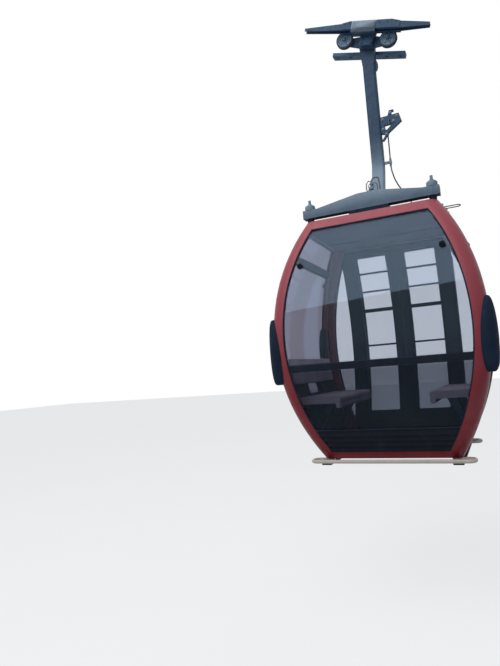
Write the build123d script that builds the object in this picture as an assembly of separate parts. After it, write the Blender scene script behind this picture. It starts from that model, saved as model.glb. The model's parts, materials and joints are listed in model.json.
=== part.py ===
from build123d import *
import math
import os

# Cable car cabin on its detachable rope grip, in millimetres.
# The origin is the centre of the rope at the middle of the jaws.
# +X is the line of travel, +Y is the door side and +Z is up.

# Rope and the attitude of the grip
rope_r = 22.5
rope_tilt = 16.0
hanger_rise = 2040.0

# Clearances
running_gap = 0.3
moving_gap = 5.0

# Cabin body, a barrel in both directions
cabin_height = 2200.0
half_length = 915.0
length_arc = 2070.0
half_depth = 870.0
depth_arc = 2200.0
corner_r = 120.0
waist_z = cabin_height / 2

# Frame hoops and the openings between them
wall = 55.0
post_face = 122.0
post_end = 150.0
window_arc = 2020.0
hoop_arc = 2050.0
rail_low = 60.0
rail_top = 88.0

# Glass and rails
glass_inset = 14.0
glass_t = 8.0
rail_inset = 4.0
rail_t = 46.0
bar_z = 830.0
bar_height = 54.0
transom_drop = 330.0
transom_height = 60.0
end_rail_z = 780.0
end_rail_height = 40.0
slot_z = 630.0
slot_height = 110.0
slot_width = 400.0
slot_r = 30.0

# Louvre panel under the near window
louvre_top = 265.0
louvre_count = 4
louvre_pitch = 47.0
louvre_rise = 34.0
panel_t = 24.0

# Roof, ceiling and floor
roof_t = 40.0
ceiling_t = 28.0
dome_length = 860.0
dome_depth = 620.0
dome_rise = 24.0
dome_edge = 18.0
floor_panel_t = 20.0

# Door opening and the two leaves
side_window = 330.0
jamb_width = 155.0
header_drop = 160.0
sill_z = 190.0
leaf_lap = 70.0
leaf_low = 130.0
leaf_drop = 122.0
leaf_gap = 6.0
leaf_t = 34.0
nosing = 18.0
leaf_window_inner = 103.0
leaf_stile = 80.0
leaf_window_low = 315.0
leaf_window_drop = 170.0
leaf_window_r = 12.0
leaf_bar_t = 8.0
leaf_glass_t = 6.0
leaf_glass_inset = 6.0
# Height of each bar across a leaf window and how tall it is
leaf_bars = [(1047.0, 20.0), (1446.0, 40.0), (1660.0, 20.0), (1859.0, 20.0)]

# Door track and guide
rod_r = 12.0
rod_out = 37.0
rod_rise = 25.0
track_past = 114.0
track_t = 8.0
track_out = 78.0
track_over = 47.0
track_under = 31.0
shoe_near = 52.0
shoe_far = 144.0
shoe_width = 44.0
shoe_depth = 38.0
bracket_width = 14.0
guide_z = 92.0
guide_t = 12.0
guide_out = 64.0
guide_lip = 20.0
guide_pin_r = 7.0

# Benches
seat_front = 385.0
seat_top = 560.0
seat_t = 62.0
seat_nose_r = 28.0
seat_end_gap = 120.0
seat_lip = 44.0
strut_t = 30.0
strut_y = 420.0

# Bumper pads on the corner posts
pad_z = 995.0
pad_height = 600.0
pad_width = 190.0
pad_end_r = 70.0
pad_t = 45.0
pad_sink = 20.0
pad_dome_r = 2100.0
pad_crown_r = 97.0
pad_nose_r = 50.0
pad_nose_over = 4.0
pad_turn = 28.5
pad_in = 83.0
far_pad_turn = 18.0
far_pad_in = 126.0

# Guide tubes along the base on cross bars
ring_r = 17.0
ring_out_x = 92.0
ring_out_y = 65.0
ring_return = 125.0
ring_corner = 55.0
ring_tail = 90.0
bar_x = 560.0
bar_width = 84.0
bar_t = 16.0
bar_inset = 10.0
spacer_width = 60.0
spacer_y = 300.0

# Knobs on the near window
knob_in = 69.0
knob_z = 1755.0
knob_r = 26.0
knob_t = 16.0

# Hanger frame on the roof
beam_y = 484.0
beam_depth = 90.0
beam_wall = 10.0
mount_height = 47.0
beam_end = 480.0
beam_end_height = 80.0
beam_mid = 90.0
beam_mid_height = 145.0
beam_over = 62.0
mount_x = 560.0
cup_r = 48.0
cup_height = 132.0
cup_step = 12.0
stud_r = 13.0
stud_height = 50.0
pad_r = 32.0
stop_length = 360.0
cross_width = 120.0
cross_lift = 17.0
cross_height = 93.0
foot_x = 220.0
foot_y = 210.0
foot_t = 20.0

# Hanger arm, a box tube that bends outward to clear the towers
arm_x = 126.0
arm_y = 90.0
arm_corner = 20.0
arm_offset = 213.0
arm_lean = 24.0
arm_bend = 300.0
head_r = 80.0
head_t = 86.0
head_drop = 210.0

# Grip
pivot_drop = 65.0
pivot_r = 26.0
collar_r = 44.0
collar_t = 8.0
jaw_half = 125.0
jaw_out = 48.0
jaw_low = 38.0
jaw_bevel = 28.0
jaw_bevel_in = 15.0
jaw_gap = 2.5
knuckle_r = 17.0
hinge_pin_r = 8.0
hinge_y = -24.0
hinge_w = 48.0
body_y = 62.0
hump_low = -225.0
hump_high = 368.0
hump_top = 67.0
hump_split = 34.0
hump_slope = 85.0
shoulder_low = -15.0
tongue_left = -640.0
tongue_right = 655.0
tongue_tip = 28.0
tongue_tip_low = -2.0
tongue_root = 48.0
tongue_half = 40.0
tongue_tip_half = 28.0
tongue_free = 2.0
boss_mid = 20.0
boss_half = 67.0
boss_top = 20.0
boss_low = -125.0
arm_top = 2.0
arm_rise = 32.0
arm_plate_t = 25.0
arm_plate_y = 135.0
wheel_half = 231.0
wheel_shift = 12.0
wheel_drop = 53.0
wheel_r = 87.0
wheel_rim_r = 74.0
wheel_y = 75.0
wheel_t = 54.0
axle_r = 14.0
axle_head_r = 24.0
axle_head_t = 6.0
plate_half = 395.0
plate_y = 270.0
plate_depth = 100.0
plate_t = 35.0
plate_drop = 92.0
plate_r = 12.0
hub_t = 34.0
hub_wall = 22.0

# Release bracket, cable and handles on the hanger
release_drop = 1040.0
release_t = 50.0
clip_drop = 1354.0
cable_r = 6.5
cable_out = 62.0
cable_sweep = 45.0
cable_run = 250.0
cable_rise = 190.0
upper_bend = 300.0
middle_bend = 400.0
lower_bend = 200.0
gland_x = 300.0
gland_y = 250.0
gland_r = 22.0
gland_height = 26.0
handle_rod_r = 7.0
handle_x = 35.0
handle_t = 12.0
loop_rod_r = 5.0
loop_root = 28.0
loop_rise = 37.0
loop_reach = 185.0
loop_width = 70.0
loop_y = -60.0

# Places that follow from the sizes above
rope_height = cabin_height + hanger_rise
jamb_outer = half_length - side_window
door_half = jamb_outer - jamb_width
leaf_outer = door_half + leaf_lap
leaf_window_outer = leaf_outer - leaf_stile
track_half = leaf_outer + track_past
transom_z = cabin_height - transom_drop
header_z = cabin_height - header_drop
leaf_top = cabin_height - leaf_drop
leaf_window_top = cabin_height - leaf_window_drop
rod_z = leaf_top + rod_rise
track_top = rod_z + track_over
track_low = rod_z - track_under
beam_z = cabin_height + mount_height
cross_low = beam_z + cross_lift
release_z = rope_height - release_drop
clip_z = rope_height - clip_drop
wheel_left = wheel_shift - wheel_half
wheel_right = wheel_shift + wheel_half
cabin_x = -pivot_drop * math.sin(math.radians(rope_tilt))
pivot_z = rope_height - pivot_drop * math.cos(math.radians(rope_tilt))
head_y = arm_offset - head_t / 2
big = 1500.0

parts = {}


def arc_half(half, radius, z, inset=0.0):
    """Half width at height z of a barrel profile."""
    return half - radius + math.sqrt((radius - inset) ** 2 - (z - waist_z) ** 2)


def depth_at(z, inset=0.0):
    """Distance from the centre plane to the long side of the cabin at height z."""
    return arc_half(half_depth, depth_arc, z, inset)


def length_at(z, inset=0.0):
    """Distance from the centre plane to the end of the cabin at height z."""
    return arc_half(half_length, length_arc, z, inset)


def mirror_point(point):
    return (-point[0], point[1])


def barrel_profile(plane, half, radius, z_low, z_high, inset=0.0):
    """Closed outline with flat top and bottom and one arc on each side."""
    high = (arc_half(half, radius, z_high, inset), z_high)
    low = (arc_half(half, radius, z_low, inset), z_low)
    waist = (half - inset, waist_z)
    edges = [
        Line(mirror_point(high), high),
        ThreePointArc(high, waist, low),
        Line(low, mirror_point(low)),
        ThreePointArc(mirror_point(low), mirror_point(waist), mirror_point(high)),
    ]
    return plane * make_face(edges)


def barrel(inset):
    """Solid cabin envelope, moved inward by the inset."""
    low, high = inset, cabin_height - inset
    along = extrude(barrel_profile(Plane.XZ, half_length, length_arc, low, high, inset), big, both=True)
    across = extrude(barrel_profile(Plane.YZ, half_depth, depth_arc, low, high, inset), big, both=True)
    body = along & across
    tall = body.edges().filter_by(lambda e: e.length > cabin_height / 2)
    corners = tall.filter_by(lambda e: abs(e.center().X * e.center().Y) > 1e5)
    return fillet(corners, corner_r - inset)


def skin(outer, inner):
    """The envelope between two insets."""
    return barrel(outer) - barrel(inner)


def block(x_low, x_high, y_low, y_high, z_low, z_high):
    size = (x_high - x_low, y_high - y_low, z_high - z_low)
    centre = ((x_low + x_high) / 2, (y_low + y_high) / 2, (z_low + z_high) / 2)
    return Pos(*centre) * Box(*size)


def slab(z_low, z_high):
    return block(-big, big, -big, big, z_low, z_high)


def rod(start, end, radius):
    """Round bar between two points."""
    a, b = Vector(*start), Vector(*end)
    return Solid.make_cylinder(radius, (b - a).length, Plane(a, z_dir=b - a))


def tube_along(points, radii, radius):
    """Round bar along straight runs joined by tangent arcs."""
    path = FilletPolyline(*points, radius=radii) if len(points) > 2 else Line(*points)
    section = Plane(path @ 0, z_dir=path % 0) * Circle(radius)
    return sweep(section, path=path)


def both_ends(piece):
    return piece + mirror(piece, about=Plane.YZ)


def both_sides(piece):
    return piece + mirror(piece, about=Plane.XZ)


# Envelope cutters
hoop_half = half_depth - post_end
hoop_high = cabin_height + 100
hoop_inner = hoop_half - running_gap
hoop_space = extrude(barrel_profile(Plane.YZ, hoop_half, hoop_arc, -100, hoop_high), big, both=True)
hoop_fit = extrude(barrel_profile(Plane.YZ, hoop_inner, hoop_arc, -100, hoop_high), big, both=True)
face_half = half_length - post_face
face_low, face_high = rail_low, cabin_height - rail_top
face_inner = face_half - running_gap
face_space = extrude(barrel_profile(Plane.XZ, face_half, window_arc, face_low, face_high), big, both=True)
face_fit = extrude(barrel_profile(Plane.XZ, face_inner, window_arc, face_low, face_high), big, both=True)
envelope = barrel(0)
near_half = block(-big, big, -big, 0, -100, cabin_height + 100)
far_half = block(-big, big, 0, big, -100, cabin_height + 100)
right_half = block(0, big, -big, big, -100, cabin_height + 100)


def cabin_frame():
    """Two red hoops: corner posts with a top and a bottom rail."""
    hoops = (envelope - barrel(wall)) - hoop_space - face_space
    near = (hoops & near_half).solids().sort_by(SortBy.VOLUME)[-1]
    parts["frame_near"] = near
    parts["frame_far"] = mirror(near, about=Plane.XZ)


def cabin_roof():
    """Roof pan between the hoops with a raised middle, and the ceiling under it."""
    pan = (envelope - barrel(roof_t)) & hoop_fit & slab(face_high, cabin_height)
    dome_x, dome_y = dome_length / 2, dome_depth / 2
    dome = block(-dome_x, dome_x, -dome_y, dome_y, cabin_height, cabin_height + dome_rise)
    dome = chamfer(dome.edges().group_by(Axis.Z)[-1], dome_edge)
    parts["roof_panel"] = pan + dome
    ceiling_high = cabin_height - wall
    lining = barrel(wall + running_gap) & slab(ceiling_high - ceiling_t, ceiling_high - running_gap)
    parts["ceiling_panel"] = lining


def cabin_floor():
    """Floor pan between the hoops and the floor panel on it."""
    parts["floor_pan"] = envelope & hoop_fit & slab(0, wall)
    parts["floor_panel"] = barrel(wall + running_gap) & slab(wall, wall + floor_panel_t)


def cabin_ends():
    """Glass, rails and lower panel between the hoops at each end."""
    rails = skin(rail_inset, rail_inset + rail_t) & hoop_fit & right_half
    panes = skin(glass_inset, glass_inset + glass_t) & hoop_fit & right_half
    transom_low, transom_high = transom_z - transom_height / 2, transom_z + transom_height / 2
    rail_z0, rail_z1 = end_rail_z - end_rail_height / 2, end_rail_z + end_rail_height / 2
    slot = Pos(half_length, 0, slot_z) * Box(2 * wall + half_length, slot_width, slot_height)
    slot = fillet(slot.edges().filter_by(Axis.X), slot_r)
    slot_fit = Pos(half_length, 0, slot_z) * Box(
        2 * wall + half_length, slot_width - 2 * running_gap, slot_height - 2 * running_gap
    )
    slot_fit = fillet(slot_fit.edges().filter_by(Axis.X), slot_r - running_gap)
    panel = (rails & slab(face_low, rail_z0)) - slot
    bars = (rails & slab(rail_z0, rail_z1)) + (rails & slab(transom_low, transom_high))
    glass = (panes & slab(rail_z1, transom_low)) + (panes & slab(transom_high, face_high))
    glass += panes & slot_fit
    parts["end_panels"] = both_ends(panel)
    parts["end_rails"] = both_ends(bars)
    parts["end_windows"] = both_ends(glass)


def near_side():
    """Large window with its cross bar, louvre panel and two glass knobs."""
    pane = skin(glass_inset, glass_inset + glass_t) & face_fit & near_half
    bar_low, bar_high = bar_z - bar_height / 2, bar_z + bar_height / 2
    parts["near_windows"] = (pane & slab(bar_high, face_high)) + (pane & slab(louvre_top, bar_low))
    rails = skin(rail_inset, rail_inset + rail_t) & face_fit & near_half
    parts["near_bar"] = rails & slab(bar_low, bar_high)
    panel = skin(glass_inset, glass_inset + panel_t) & face_fit & near_half & slab(face_low, louvre_top)
    fins = []
    for index in range(louvre_count):
        z = face_low + 8 + index * louvre_pitch
        outline = Polyline(
            (-depth_at(z, glass_inset + 2), z),
            (-depth_at(z, 0), z),
            (-depth_at(z + louvre_rise, glass_inset), z + louvre_rise),
            (-depth_at(z + louvre_rise, glass_inset + 2), z + louvre_rise),
            close=True,
        )
        fins.append(extrude(Plane.YZ * make_face(outline), big, both=True) & face_fit)
    for fin in fins:
        panel += fin
    parts["louvre_panel"] = panel
    knobs = []
    x = arc_half(face_half, window_arc, knob_z) - knob_in
    y = -depth_at(knob_z, glass_inset)
    lean = math.degrees(math.asin((knob_z - waist_z) / depth_arc))
    for side in (-1, 1):
        knob = Cylinder(knob_r, knob_t, align=(Align.CENTER, Align.CENTER, Align.MIN))
        knob = chamfer(knob.edges().group_by(Axis.Z)[-1], 4)
        knobs.append(Pos(side * x, y - running_gap, knob_z) * Rot(90 - lean, 0, 0) * knob)
    parts["window_knobs"] = Compound(children=[k - barrel(glass_inset - running_gap) for k in knobs])


def far_side():
    """Jambs, header, sill and side windows round the door opening."""
    rails = skin(rail_inset, rail_inset + rail_t + 4) & far_half
    fitted = rails & face_fit
    jamb = fitted & block(door_half, jamb_outer, 0, big, face_low, face_high)
    parts["door_jambs"] = both_ends(jamb)
    parts["door_header"] = fitted & block(-door_half, door_half, 0, big, header_z, face_high)
    parts["door_sill"] = fitted & block(-door_half, door_half, 0, big, face_low, sill_z)
    pane = skin(glass_inset, glass_inset + glass_t) & far_half & face_fit
    pane = pane & block(jamb_outer + running_gap, big, 0, big, face_low, face_high)
    parts["far_side_windows"] = both_ends(pane)


def door_shell(inner, outer, x_low, x_high, z_low, z_high):
    """Stretch of a door leaf between two distances outside the cabin side."""
    low, high = leaf_low - 100, leaf_top + 100
    outside = barrel_profile(Plane.YZ, half_depth, depth_arc, low, high, -outer)
    inside = barrel_profile(Plane.YZ, half_depth, depth_arc, low - 1, high + 1, -inner)
    shell = extrude(outside, big, both=True) - extrude(inside, big, both=True)
    return shell & block(x_low, x_high, 0, big, z_low, z_high)


def door_leaves():
    """Curved leaves that slide along the outside of the cabin."""
    inner, outer = leaf_gap, leaf_gap + leaf_t
    x_mid = (leaf_window_inner + leaf_window_outer) / 2
    z_mid = (leaf_window_low + leaf_window_top) / 2
    width = leaf_window_outer - leaf_window_inner
    height = leaf_window_top - leaf_window_low

    def window(shrink):
        hole = Pos(x_mid, half_depth, z_mid) * Box(width - 2 * shrink, half_depth, height - 2 * shrink)
        return fillet(hole.edges().filter_by(Axis.Y), leaf_window_r - shrink)

    leaf = door_shell(inner, outer, moving_gap / 2 + nosing, leaf_outer, leaf_low, leaf_top)
    leaf -= window(0)
    for z, tall in leaf_bars:
        bar_inner = inner + 2
        bar_low, bar_high = z - tall / 2, z + tall / 2
        x_near, x_far = leaf_window_inner - 1, leaf_window_outer + 1
        leaf += door_shell(bar_inner, bar_inner + leaf_bar_t, x_near, x_far, bar_low, bar_high)
    for x in (shoe_near, shoe_far):
        leaf += track_shoe(x)
        leaf += guide_pin(x)
    pane_inner = inner + 2 + leaf_bar_t + leaf_glass_inset
    pane = door_shell(pane_inner, pane_inner + leaf_glass_t, 0, big, leaf_low, leaf_top) & window(running_gap)
    edge = door_shell(inner, outer, moving_gap / 2, moving_gap / 2 + nosing, leaf_low, leaf_top)
    for side, place in (("right", lambda s: s), ("left", lambda s: mirror(s, about=Plane.YZ))):
        parts["door_leaf_" + side] = place(leaf)
        parts["door_glass_" + side] = place(pane)
        parts["door_nosing_" + side] = place(edge)


def rod_y():
    return depth_at(rod_z) + rod_out


def track_shoe(x):
    """Shoe on top of a leaf that runs on the track rod."""
    y = rod_y()
    half_x, half_y = shoe_width / 2, shoe_depth / 2
    shoe = block(x - half_x, x + half_x, y - half_y, y + half_y, leaf_top - 10, rod_z + 24)
    bore = rod((x - shoe_width, y, rod_z), (x + shoe_width, y, rod_z), rod_r + running_gap)
    shell = barrel_profile(Plane.YZ, half_depth, depth_arc, leaf_low, leaf_top + 100, -leaf_gap)
    return shoe - bore - extrude(shell, big, both=True)


def guide_pin(x):
    """Pin under a leaf that runs behind the lip of the guide."""
    y = depth_at(leaf_low) + leaf_gap + leaf_t / 2
    return rod((x, y, guide_z + guide_t + moving_gap), (x, y, leaf_low + 1), guide_pin_r)


def door_track():
    """Track rod with its cover above the doors, and the guide below them."""
    y = rod_y()
    y_out = depth_at(rod_z) + track_out
    y_in = depth_at(track_top, wall)
    cover = block(-track_half, track_half, y_in, y_out, track_top - track_t, track_top)
    cover += block(-track_half, track_half, y_out - track_t, y_out, track_low, track_top)
    for x in (-track_half + bracket_width / 2, 0, track_half - bracket_width / 2):
        cover += block(x - bracket_width / 2, x + bracket_width / 2, y_in, y_out, rod_z - 18, track_top)
    cover -= barrel(-running_gap)
    cover -= rod((-track_half - 1, y, rod_z), (track_half + 1, y, rod_z), rod_r + running_gap)
    parts["door_track_cover"] = cover
    parts["door_rod"] = rod((-track_half, y, rod_z), (track_half, y, rod_z), rod_r)
    y_lip = depth_at(guide_z) + guide_out
    guide = block(-track_half, track_half, depth_at(guide_z, wall), y_lip, guide_z, guide_z + guide_t)
    guide += block(-track_half, track_half, y_lip - track_t, y_lip, guide_z, guide_z + guide_t + guide_lip)
    parts["door_guide"] = guide - barrel(-running_gap)


def benches():
    """Moulded seat at each end on two diagonal struts."""
    back = length_at(seat_top)
    seat_half = depth_at(seat_top, wall) - seat_end_gap
    low = seat_top - seat_t
    seat = block(seat_front, back, -seat_half, seat_half, low, seat_top)
    nose = [e for e in seat.edges().filter_by(Axis.Y) if e.center().X < seat_front + 1]
    seat = fillet(nose, seat_nose_r)
    lip = block(seat_front, seat_front + seat_lip, -seat_half, seat_half, low - seat_lip, low + seat_nose_r)
    lip = fillet([e for e in lip.edges().filter_by(Axis.Y) if e.center().Z < low], seat_lip / 2 - 1)
    seat = seat + (lip & block(seat_front, back, -seat_half, seat_half, low - seat_lip, low + 1))
    inner_wall = barrel(rail_inset + rail_t + running_gap)
    seat = seat & inner_wall
    strut_top = (seat_front + 110, low)
    strut_foot = (length_at(face_low + 120), face_low + 60)
    outline = Polyline(
        strut_top,
        (strut_top[0] + 70, low),
        (strut_foot[0], strut_foot[1] + 70),
        strut_foot,
        close=True,
    )
    strut = extrude(Plane.XZ * make_face(outline), strut_t / 2, both=True) & inner_wall
    struts = Pos(0, strut_y, 0) * strut + Pos(0, -strut_y, 0) * strut
    parts["benches"] = both_ends(seat)
    parts["bench_struts"] = both_ends(struts)


def oval(half, reach, end_r):
    """Oval of four tangent arcs."""
    centre = reach - end_r
    side_r = (half ** 2 + centre ** 2 - end_r ** 2) / (2 * (half - end_r))
    share = side_r / (side_r - end_r)
    x = half - side_r + share * (side_r - half)
    z = share * centre
    edges = [
        ThreePointArc((x, -z), (half, 0), (x, z)),
        ThreePointArc((x, z), (0, reach), (-x, z)),
        ThreePointArc((-x, z), (-half, 0), (-x, -z)),
        ThreePointArc((-x, -z), (0, -reach), (x, -z)),
    ]
    return make_face(edges)


def bumper_pads():
    """Long oval rubber pads with a domed face on the corner posts, clear of the open doors."""
    top = pad_sink + pad_t
    dome = Pos(0, 0, top - pad_dome_r) * Rot(0, 90, 0) * Torus(pad_dome_r - pad_crown_r, pad_crown_r)
    outline = extrude(oval(pad_width / 2, pad_height / 2, pad_end_r), top, both=True)
    side_view = Plane(origin=(0, 0, 0), x_dir=(0, 0, 1), z_dir=(1, 0, 0))
    nose = side_view * oval(top + pad_nose_over, pad_height / 2, pad_nose_r)
    pad = outline & dome & extrude(nose, pad_width, both=True)
    pads = []
    for side, inward, turn in ((-1, pad_in, pad_turn), (1, far_pad_in, far_pad_turn)):
        outward = math.cos(math.radians(turn))
        sideways = side * math.sin(math.radians(turn))
        face = Plane(
            origin=(length_at(pad_z) - pad_sink, side * (depth_at(pad_z) - inward), pad_z),
            z_dir=(outward, sideways, 0), x_dir=(-sideways, outward, 0),
        )
        pads.append(face * pad - barrel(-running_gap))
    parts["bumper_pads"] = both_ends(pads[0] + pads[1])


def base_ring():
    """Tube along each foot of the cabin with its ends bent in, on cross bars under the floor."""
    z = -ring_r - running_gap
    x_in = length_at(0) - ring_tail
    x_out = length_at(0) + ring_out_x
    y_out = depth_at(0) + ring_out_y
    y_in = y_out - ring_return
    points = [
        (-x_in, -y_in, z), (-x_out, -y_in, z), (-x_out, -y_out, z),
        (x_out, -y_out, z), (x_out, -y_in, z), (x_in, -y_in, z),
    ]
    parts["base_ring"] = both_sides(tube_along(points, [ring_corner] * 4, ring_r))
    high = 2 * z
    y_bar = y_out - bar_inset
    bar = block(bar_x - bar_width / 2, bar_x + bar_width / 2, -y_bar, y_bar, high - bar_t, high)
    bar = chamfer([e for e in bar.edges().filter_by(Axis.X) if e.center().Z < high - bar_t / 2], bar_t / 2)
    half = spacer_width / 2
    for y in (-spacer_y, spacer_y):
        bar += block(bar_x - half, bar_x + half, y - half, y + half, high - 1, -running_gap)
    parts["base_bars"] = both_ends(bar)


def roof_beams():
    """Fish-bellied channel beams on rubber mounts, and the cross member."""
    mid = beam_z + beam_mid_height
    end = beam_z + beam_end_height
    tip = mount_x + beam_over

    def outline(inset):
        half = tip - inset
        return Polyline(
            (-half, beam_z), (half, beam_z), (half, end - inset), (beam_end, end - inset),
            (beam_mid, mid - inset), (-beam_mid, mid - inset), (-beam_end, end - inset), (-half, end - inset),
            close=True,
        )

    beam = extrude(Plane.XZ * make_face(outline(0)), beam_depth / 2, both=True)
    beam -= extrude(Plane.XZ * make_face(outline(beam_wall)), beam_depth / 2 - beam_wall, both=True)
    for side in (-1, 1):
        cup = Pos(side * mount_x, 0, beam_z) * Cylinder(
            cup_r, cup_height, align=(Align.CENTER, Align.CENTER, Align.MIN)
        )
        cup = chamfer(cup.edges().group_by(Axis.Z)[-1], cup_step)
        stud_low = beam_z + cup_height
        beam += cup
        beam += rod((side * mount_x, 0, stud_low - 1), (side * mount_x, 0, stud_low + stud_height), stud_r)
    parts["roof_beams"] = both_sides(Pos(0, beam_y, 0) * beam)
    inner = beam_y - beam_depth / 2
    cross = block(-cross_width / 2, cross_width / 2, -inner, inner, cross_low, cross_low + cross_height)
    hollow = block(
        -cross_width / 2 + beam_wall, cross_width / 2 - beam_wall, -inner, inner,
        cross_low - 1, cross_low + cross_height - beam_wall
    )
    parts["roof_cross_member"] = cross - hollow
    stop_low, stop_high = beam_y - beam_depth / 2, beam_y + beam_depth / 2
    rubber = block(-stop_length / 2, stop_length / 2, stop_low, stop_high, cabin_height, beam_z)
    rubber += rod((mount_x, beam_y, cabin_height), (mount_x, beam_y, beam_z), pad_r)
    rubber += rod((-mount_x, beam_y, cabin_height), (-mount_x, beam_y, beam_z), pad_r)
    parts["roof_mounts"] = both_sides(rubber)


def hanger_arm():
    """Box tube from the cross member up to the eye on the grip pivot."""
    foot_z = cross_low + cross_height
    rise = arm_offset / math.tan(math.radians(arm_lean))
    below = 120.0
    shift = below * math.tan(math.radians(arm_lean))
    tube_top = pivot_z - head_drop
    path = FilletPolyline(
        (0, -shift, foot_z + foot_t - below),
        (0, arm_offset, foot_z + foot_t + rise),
        (0, arm_offset, tube_top),
        radius=arm_bend,
    )
    plane = Plane(path @ 0, x_dir=(1, 0, 0), z_dir=path % 0)
    section = plane * RectangleRounded(arm_x, arm_y, arm_corner)
    tube = sweep(section, path=path) - slab(foot_z - below * 2, foot_z + foot_t - 2)
    flange = block(-foot_x / 2, foot_x / 2, -foot_y / 2, foot_y / 2, foot_z, foot_z + foot_t)
    flange = fillet(flange.edges().filter_by(Axis.Z), 24)
    neck = Polyline(
        (-head_r, pivot_z), (-arm_x / 2, tube_top), (arm_x / 2, tube_top), (head_r, pivot_z), close=True
    )
    head = extrude(Plane.XZ * make_face(neck), head_t / 2, both=True)
    head += rod((0, -head_t / 2, pivot_z), (0, head_t / 2, pivot_z), head_r)
    head = Pos(0, arm_offset, 0) * head
    stop = Pos(arm_x / 2, arm_offset, tube_top - 20) * Rot(90, 0, 0) * extrude(Ellipse(28, 62), 15, both=True)
    arm = tube + flange + head + stop
    arm -= rod((0, 0, pivot_z), (0, arm_offset + head_t, pivot_z), pivot_r + running_gap)
    parts["hanger_arm"] = arm


def release_gear():
    """Release bracket on the arm with its cable down to the doors, and the hooks."""
    x = arm_x / 2
    z = release_z
    outline = Polyline(
        (x, z), (x + 52, z - 18), (x + 212, z + 92), (x + 192, z + 172), (x, z + 168), close=True
    )
    plate = extrude(Plane.XZ * make_face(outline), release_t / 2, both=True)
    window = Polyline((x + 40, z + 30), (x + 60, z + 25), (x + 130, z + 82), (x + 40, z + 82), close=True)
    plate -= extrude(Plane.XZ * make_face(window), release_t, both=True)
    hook = Polyline(
        (x + 70, z + 160), (x + 95, z + 160), (x + 110, z + 208), (x + 140, z + 208),
        (x + 140, z + 228), (x + 96, z + 228), close=True
    )
    plate += extrude(Plane.XZ * make_face(hook), release_t / 4, both=True)
    crank = Polyline((x, z - 75), (x + 16, z - 86), (x + 78, z - 10), (x + 60, z + 4), close=True)
    plate += extrude(Plane.XZ * make_face(crank), release_t / 4, both=True)
    cable_x = x + cable_out
    plate -= rod((cable_x, 0, z - 60), (cable_x, 0, z + 20), cable_r + running_gap)
    parts["release_bracket"] = Pos(0, arm_offset, 0) * plate
    clip = block(x, cable_x + 14, -12, 12, clip_z - 12, clip_z + 12)
    clip = clip - rod((cable_x, 0, clip_z - 30), (cable_x, 0, clip_z + 30), cable_r + running_gap)
    parts["cable_clip"] = Pos(0, arm_offset, 0) * clip
    gland_top = cabin_height + dome_rise + gland_height
    points = [
        (cable_x, arm_offset, z + 18),
        (cable_x, arm_offset, clip_z - 60),
        (cable_x + cable_sweep, arm_offset + 8, clip_z - cable_run),
        (gland_x, gland_y, gland_top + cable_rise),
        (gland_x, gland_y, gland_top),
    ]
    parts["release_cable"] = tube_along(points, [upper_bend, middle_bend, lower_bend], cable_r)
    gland = rod((gland_x, gland_y, cabin_height + dome_rise), (gland_x, gland_y, gland_top), gland_r)
    parts["cable_gland"] = chamfer(gland.edges().group_by(Axis.Z)[-1], 6)
    beam_top = beam_z + beam_mid_height
    lever = Polyline((-36, 0), (20, 0), (28, 92), (6, 92), close=True)
    hook_plate = extrude(Plane.XZ * make_face(lever), handle_t / 2, both=True)
    hook_rod = tube_along([(-8, 0, 70), (20, 0, 128), (72, 0, 128), (82, 0, -beam_wall)], [24, 24], handle_rod_r)
    handle = Pos(handle_x, -beam_y, beam_top) * (hook_plate + hook_rod)
    parts["lock_handle"] = handle - parts["roof_beams"]


def end_loop():
    """Wire loop that rises from the roof edge and lies out over it."""
    low = cabin_height - running_gap
    high = cabin_height + loop_rise
    x_in = length_at(cabin_height) - loop_root
    x_out = x_in + loop_reach
    half = loop_width / 2
    left, right = loop_y - half, loop_y + half
    points = [
        (x_in, left, low), (x_in, left, high), (x_out, left, high),
        (x_out, right, high), (x_in, right, high), (x_in, right, low),
    ]
    bend = half * 0.9
    loop = tube_along(points, [half / 2, bend, bend, half / 2], loop_rod_r)
    parts["end_loop"] = loop - barrel(-running_gap)


def grip_cylinder(u_low, u_high, radius, y=0.0, w=0.0):
    """Cylinder along the rope in the grip's own level frame."""
    return rod((u_low, y, w), (u_high, y, w), radius)


def tongue(u_root, u_tip):
    """Tapered guide over the rope from the jaw to its tip."""

    def section(u, half, low, high):
        plane = Plane((u, 0, 0), x_dir=(0, 1, 0), z_dir=(1, 0, 0))
        return plane * Pos(0, (low + high) / 2) * Rectangle(2 * half, high - low)

    root = section(u_root, tongue_half, shoulder_low, tongue_root)
    tip = section(u_tip, tongue_tip_half, tongue_tip_low, tongue_tip)
    free = grip_cylinder(min(u_root, u_tip) - 1, max(u_root, u_tip) + 1, rope_r + tongue_free)
    return loft([root, tip]) - free


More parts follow.
